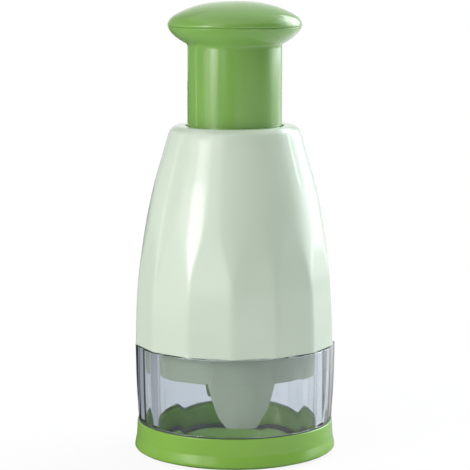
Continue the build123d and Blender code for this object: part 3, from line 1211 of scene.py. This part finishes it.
@dataclass
class Plunger:
    """The stem, the knob's two halves and what the spring and shaft rest on."""

    stem: float = 24.3
    hollow: float = 22.0
    low: float = 143.5
    split: float = 220.2
    top: float = 233.2
    shaft: float = 3.35
    shelf: float = 207.0
    lug_height: float = 4.0

    def tube(self) -> list[Corner]:
        """The outline of the stem and the knob's lower half.

        Returns:
            The corners.
        """
        cove = [(24.34, 210.5), (24.42, 210.9), (24.85, 211.4), (25.6, 211.9), (27.2, 212.8), (28.8, 213.85)]
        cove += [(30.3, 214.95), (31.4, 215.95), (32.4, 217.0), (33.2, 218.0), (33.8, 219.0), (34.12, 219.7)]
        seam = [(34.1, 220.0), (33.85, self.split), (31.9, self.split, 0.2)]
        inside = [(30.4, 217.2), (27.6, 214.4), (23.4, 211.4), (22.0, 210.0, 0.2), (self.shaft, 210.0, 0.1)]
        bore = [(self.shaft, self.shelf, 0.1), (self.hollow, self.shelf, 0.6), (self.hollow, self.low, 0.4)]
        return [(self.stem, self.low, 0.4), (self.stem, 209.4), (self.stem, 210.1)] + cove + seam + inside + bore

    def dome(self) -> list[Corner]:
        """The outline of the knob's upper half.

        Returns:
            The corners.
        """
        crown = [(0.0, self.top), (5.0, 233.0), (9.5, 232.7), (13.8, 232.15), (18.4, 231.15), (21.7, 230.2)]
        crown += [(24.6, 229.15), (27.0, 228.1), (29.3, 226.95), (30.9, 226.0), (32.2, 225.0), (33.2, 223.95)]
        side = [(33.85, 222.9), (34.2, 222.1), (34.4, 221.5), (34.48, 221.1), (34.48, 220.8), (34.36, 220.48)]
        seam = [(34.1, 220.27), (33.85, self.split), (30.3, self.split, 0.2), (30.1, 217.8, 0.4), (28.6, 217.8, 0.4)]
        under = [(28.6, 224.4), (27.2, 225.6), (23.4, 227.2), (17.4, 229.1), (9.0, 230.5), (0.0, 231.0)]
        return crown + side + seam + under

    def build(self, shop: Workshop) -> None:
        """Make the stem and the knob.

        Args:
            shop: The shape trees and finishes.
        """
        tube = shop.turn("stem_tube", self.tube(), "leaf_green")
        high = self.low + self.lug_height
        lugs = [spun(block((23.2, -4.0, self.low), (27.2, 4.0, high), "lug", 0.4), side) for side in (0, 180)]
        shop.settle(shop.join("stem", [tube, *lugs]), Body.PLUNGER, "green_plastic", "plunger_stem")
        cap = shop.turn("knob", self.dome(), "leaf_green", Ends.ON_AXIS)
        shop.settle(cap, Body.PLUNGER, "green_plastic", "knob_cap")


@dataclass(frozen=True)
class Coil:
    """One spring: its names, its body and its sizes in millimetres."""

    name: str
    node: str
    body: Body
    low: float
    high: float
    radius: float
    wire: float
    turns: float
    steps: int


@dataclass
class Springs:
    """The return spring and the clutch spring."""

    press: float = 40.0
    coils: tuple[Coil, ...] = (
        Coil("return_coil", "return_spring", Body.HEAD, 102.9, 205.4, 18.0, 0.8, 13.0, 900),
        Coil("clutch_coil", "clutch_spring", Body.BLADES, 161.0, 167.2, 4.6, 0.5, 5.0, 240),
    )

    def build(self, shop: Workshop) -> None:
        """Wind both; the return spring gets a mesh of its own.

        Args:
            shop: The shape trees and finishes.
        """
        for coil in self.coils:
            low, high = coil.low, coil.high
            obj = shop.coil.run(
                new_object(coil.name, bpy.data.meshes.new(coil.name)),
                Low=low * MM,
                High=high * MM,
                Radius=coil.radius * MM,
                Wire=coil.wire * MM,
                Turns=coil.turns,
                Closed_turns=1.0,
                Steps=coil.steps,
                Finish=shop.finishes["spring_steel"],
            )
            shop.settle(outward(obj), coil.body, "spring_steel", coil.node)
            if coil.node == "return_spring":
                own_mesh(obj)


@dataclass
class Dressing:
    """Finishes for the CAD nodes that keep their own mesh."""

    finishes: tuple[tuple[str, tuple[str, ...]], ...] = (
        ("seal_rubber", ("base_gasket",)),
        ("bearing_white", ("stem_guide_ring", "wiper_retainer", "mechanism_tower", "spring_cup")),
        ("bearing_white", ("clutch_collar", "drive_rotor")),
        ("screw_steel", ("guard_screws", "tower_screws", "spring_seat", "shaft_washer", "shaft_screw")),
        ("shaft_steel", ("drive_shaft", "collar_pin", "holder_pin")),
        ("spring_steel", ("clutch_clip",)),
        ("guard_green", ("blade_holder",)),
        ("blade_steel", ("zigzag_blade",)),
        ("wiper_green", ("wiper_plate",)),
    )

    def build(self, shop: Workshop, nodes: dict[str, Object]) -> None:
        """Assign the finishes.

        Args:
            shop: The shape trees and finishes.
            nodes: The CAD nodes by name.
        """
        for finish, names in self.finishes:
            for name in names:
                for slot in nodes[name].material_slots:
                    slot.material = shop.finishes[finish]
                LOG.info("%s: %s", name, finish)


# Studio


@dataclass(frozen=True)
class SoftBox:
    """A rectangular lamp that hangs round the chopper and faces it."""

    name: str
    azimuth: float
    elevation: float
    size: tuple[float, float]
    level: float
    colour: Colour = (1.0, 1.0, 1.0)
    fade: tuple[float, float] = (0.02, 0.02)
    distance: float = 0.9
    aim: float = 0.14

    def hang(self) -> None:
        """Hang the lamp; its level fades towards its sides over the share of its half-size in fade."""
        data = bpy.data.lights.new(self.name, "AREA")
        data.shape = "RECTANGLE"
        data.size, data.size_y = self.size
        data.energy = self.level * math.pi * self.size[0] * self.size[1]
        data.color = self.colour
        w = Wiring.opened(data)
        across = w.add("ShaderNodeSeparateXYZ", {0: w.add("ShaderNodeNewGeometry").outputs["Parametric"]}).outputs
        shares = []
        for place, soft in zip(across, self.fade):
            edge = w.math("SUBTRACT", 1.0, w.math("ABSOLUTE", w.math("MULTIPLY_ADD", place, 2.0, -1.0)))
            shares.append(w.between(edge, (0.0, soft), kind="SMOOTHERSTEP"))
        glow = w.first("ShaderNodeEmission", {"Strength": w.math("MULTIPLY", *shares)})
        w.add("ShaderNodeOutputLight", {0: glow})
        turn, rise = math.radians(self.azimuth), math.radians(self.elevation)
        out = Vector((math.sin(turn) * math.cos(rise), -math.cos(turn) * math.cos(rise), math.sin(rise)))
        lamp = new_object(self.name, data)
        lamp.location = out * self.distance + Vector((0, 0, self.aim))
        lamp.rotation_euler = (-out).to_track_quat("-Z", "Y").to_euler()


@dataclass
class Studio:
    """Floor, world, lamps and camera."""

    distance: float = 1.027
    height: float = 0.2575
    pitch: float = 8.032
    focal_px: float = 2003.0
    frame_px: float = 470.0
    axis_px: float = 234.8
    sensor: float = 36.0
    white: Colour = (1.0, 1.0, 1.0)
    cool: Colour = (0.94, 1.0, 1.04)
    through: Colour = (0.54, 0.61, 0.69)
    surround: Stations = (
        (-180, 1.10), (-150, 0.40), (-120, 0.20), (-90, 0.04), (-64, 0.05), (-52, 1.50), (-28, 1.50), (-14, 0.0),
        (64, 0.0), (84, 0.45), (98, 2.30), (114, 3.40), (132, 4.40), (146, 1.70), (160, 0.80), (180, 1.0),
    )  # fmt: skip
    overhead: float = 1.0
    overhead_from: tuple[float, float] = (0.66, 0.76)
    turned: float = 0.5
    painted_light_on_floor: Stations = (
        # Painted light on the floor where it is seen after a reflection: brighter towards the key's bearing, dark at
        # 140 degrees.
        (-180, 0.5), (-80, 0.5), (-44, 1.6), (-30, 1.6), (-18, 0.9), (90, 0.9), (112, 1.0), (131, 1.1),
        (140, 0.28), (180, 1.0),
    )  # fmt: skip
    floor_size: float = 3.0
    floor_bounce: float = 0.8
    # Painted light on the floor in the chopper's reflections: dark on the left, bright on the right, across x from
    # -0.05 to 0.2 m.
    floor_painted_light: tuple[float, float] = (0.12, 0.95)
    painted_light_span: tuple[float, float] = (-0.05, 0.2)
    contact: float = 0.9
    contact_span: tuple[float, float] = (0.6, 0.25)
    boxes: tuple[SoftBox, ...] = (
        SoftBox("key_box", -51, 12, (0.46, 0.62), 6.2, (1.0, 0.93, 0.96), (0.6, 0.9)),
        SoftBox("side_box", -62, 10, (0.95, 0.80), 2.9, (1.0, 0.95, 1.0), (0.9, 0.9), 0.95),
        SoftBox("rim_box", 133, 28, (0.64, 0.50), 3.2, (0.96, 0.98, 1.0), (0.15, 0.15)),
        SoftBox("low_box", 122, 1, (0.95, 0.26), 1.0, (1.0, 1.0, 1.0), (0.3, 0.02)),
        SoftBox("right_strip", 107, 20, (0.035, 0.36), 9.0, (1.0, 1.0, 1.0), (0.3, 0.1)),
        SoftBox("left_strip", -107, 8, (0.07, 0.60), 1.6, (1.0, 1.0, 1.0), (0.3, 0.1)),
    )

    def backdrop(self, w: Wiring) -> tuple[Socket, ...]:
        """Add what the world and the floor share.

        Args:
            w: The tree's wiring.

        Returns:
            Whether the backdrop is looked at; its colour, white to the camera and cool grey through clear
            walls; and whether the look was turned by a mirroring wall.
        """
        path = w.add("ShaderNodeLightPath").outputs
        clear = path["Is Transmission Ray"]
        colour = w.mix(clear, (*self.white, 1), (*self.through, 1))
        return w.math("MAXIMUM", path["Is Camera Ray"], clear), colour, w.math("MINIMUM", path["Glossy Depth"], 1.0)

    def world(self) -> None:
        """White to look at; round the chopper it is bright behind and dim in front."""
        world = bpy.data.worlds.new("studio")
        bpy.context.scene.world = world
        w = Wiring.opened(world)
        way = w.add("ShaderNodeSeparateXYZ", {0: w.add("ShaderNodeTexCoord").outputs["Generated"]}).outputs
        stops = []
        for degrees, level in self.surround:
            tone = self.cool if 0 < degrees < 180 else self.white
            stops.append(((degrees + 180) / 360, [level * part for part in tone]))
        ramp = w.ramp(w.bearing(way), stops, "EASE")
        around = w.mix(w.between(way[2], self.overhead_from), ramp, (*(self.overhead,) * 3, 1))
        seen, colour, turned = self.backdrop(w)
        plain = w.math("MULTIPLY_ADD", turned, self.turned - 1, 1.0)
        white = w.first("ShaderNodeVectorMath", {0: colour, "Scale": plain}, operation="SCALE")
        back = w.first("ShaderNodeBackground", {"Color": w.mix(seen, around, white), "Strength": 1.0})
        w.add("ShaderNodeOutputWorld", {"Surface": back})

    def paper(self, w: Wiring) -> Socket:
        """Wire the floor's surface: plain to look at, with the chopper's shadow, and with painted light where the
        chopper's walls mirror it.

        Args:
            w: The floor's wiring.

        Returns:
            The surface.
        """
        where = w.add("ShaderNodeNewGeometry").outputs["Position"]
        place = w.add("ShaderNodeSeparateXYZ", {0: where}).outputs
        away = w.add("ShaderNodeVectorMath", {0: where}, operation="LENGTH").outputs["Value"]
        seen, colour, turned = self.backdrop(w)
        bright = w.math("MAXIMUM", seen, w.add("ShaderNodeLightPath").outputs["Is Diffuse Ray"])
        # Painted light: in reflections the floor is darker on the left and brighter on the right.
        painted_light = w.between(place[0], self.painted_light_span, self.floor_painted_light)
        shade = w.first("ShaderNodeMix", {0: bright, 2: painted_light, 3: self.floor_bounce}, data_type="FLOAT")
        # Painted light: the floor's glow seen after a reflection rises and falls by bearing.
        stops = [((degrees + 180) / 360, [level] * 3) for degrees, level in self.painted_light_on_floor]
        beyond = w.math("SUBTRACT", w.ramp(w.bearing(place), stops), 1.0)
        plain = w.math("MULTIPLY_ADD", beyond, turned, 1.0)
        matt = w.first("ShaderNodeBsdfDiffuse", {"Color": shade})
        glow = w.first("ShaderNodeEmission", {"Color": colour, "Strength": plain})
        near = w.between(away, self.contact_span)
        share = w.math("MULTIPLY", seen, w.math("MULTIPLY_ADD", near, self.contact - 1, 1.0))
        return w.first("ShaderNodeMixShader", {0: share, 1: matt, 2: glow})

    def floor(self) -> None:
        """A pale floor that keeps the chopper's shadow."""
        size = self.floor_size
        mesh = bpy.data.meshes.new("floor")
        mesh.from_pydata([(-size, -size, 0), (size, -size, 0), (size, size, 0), (-size, size, 0)], [], [(0, 1, 2, 3)])
        mesh.materials.append(drawn("floor_white", self.paper))
        floor = new_object("floor", mesh)

    def camera(self) -> None:
        """Set up the camera."""
        data = bpy.data.cameras.new("view")
        data.sensor_width = self.sensor
        data.lens = self.focal_px / self.frame_px * self.sensor
        data.shift_x = (self.frame_px / 2 - self.axis_px) / self.frame_px
        data.clip_start = 0.05
        data.clip_end = 20.0
        camera = new_object("view", data)
        camera.location = (0, -self.distance, self.height)
        camera.rotation_euler = (math.radians(90 - self.pitch), 0, 0)
        bpy.context.scene.camera = camera

    def build(self) -> None:
        """Set up the studio."""
        bpy.context.scene.view_settings.view_transform = "Standard"
        self.world()
        self.floor()
        self.camera()
        for box in self.boxes:
            box.hang()


def main() -> None:
    """Build the chopper and its studio."""
    logging.basicConfig(level=logging.INFO, format="%(name)s: %(message)s")
    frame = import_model()
    shop = Workshop()
    shop.stock(
        MouldedPlastic("leaf_green", (0.185, 0.37, 0.082), roughness=0.11, spread=0.03),
        MouldedPlastic("base_green", (0.23, 0.455, 0.072), roughness=0.13, spread=0.03),
        MouldedPlastic("pale_mint", (0.575, 0.675, 0.55), roughness=0.12, spread=0.03),
        MouldedPlastic("guard_green", (0.37, 0.455, 0.335), roughness=0.2),
        MouldedPlastic("pad_green", (0.20, 0.40, 0.08), roughness=0.4, grain=0.01),
        MouldedPlastic("wiper_green", (0.45, 0.53, 0.43), roughness=0.35),
        MouldedPlastic("bearing_white", (0.80, 0.80, 0.77), roughness=0.4),
        # Dark seal rubber; its colour also paints shade in the collar and lip rings.
        MouldedPlastic("seal_rubber", (0.05, 0.065, 0.055), roughness=0.55, grain=0.01),
        MouldedPlastic("foot_rubber", (0.12, 0.26, 0.05), roughness=0.6, grain=0.02),
        ClearPlastic("clear"),
        WorkedSteel("spring_steel", (0.60, 0.60, 0.60), 0.25),
        WorkedSteel("screw_steel", (0.56, 0.56, 0.57), 0.3, (1, 1, 1), 600.0),
        WorkedSteel("shaft_steel", (0.62, 0.62, 0.63), 0.22, (1, 1, 30), 300.0),
        WorkedSteel("blade_steel", (0.68, 0.69, 0.70), 0.26, (1, 1, 20), 400.0),
    )
    Base().build(shop)
    Cup().build(shop)
    Housing().build(shop)
    Guard().build(shop)
    Plunger().build(shop)
    Springs().build(shop)
    Dressing().build(shop, frame["nodes"])
    Studio().build()


if __name__ == "__main__":
    main()
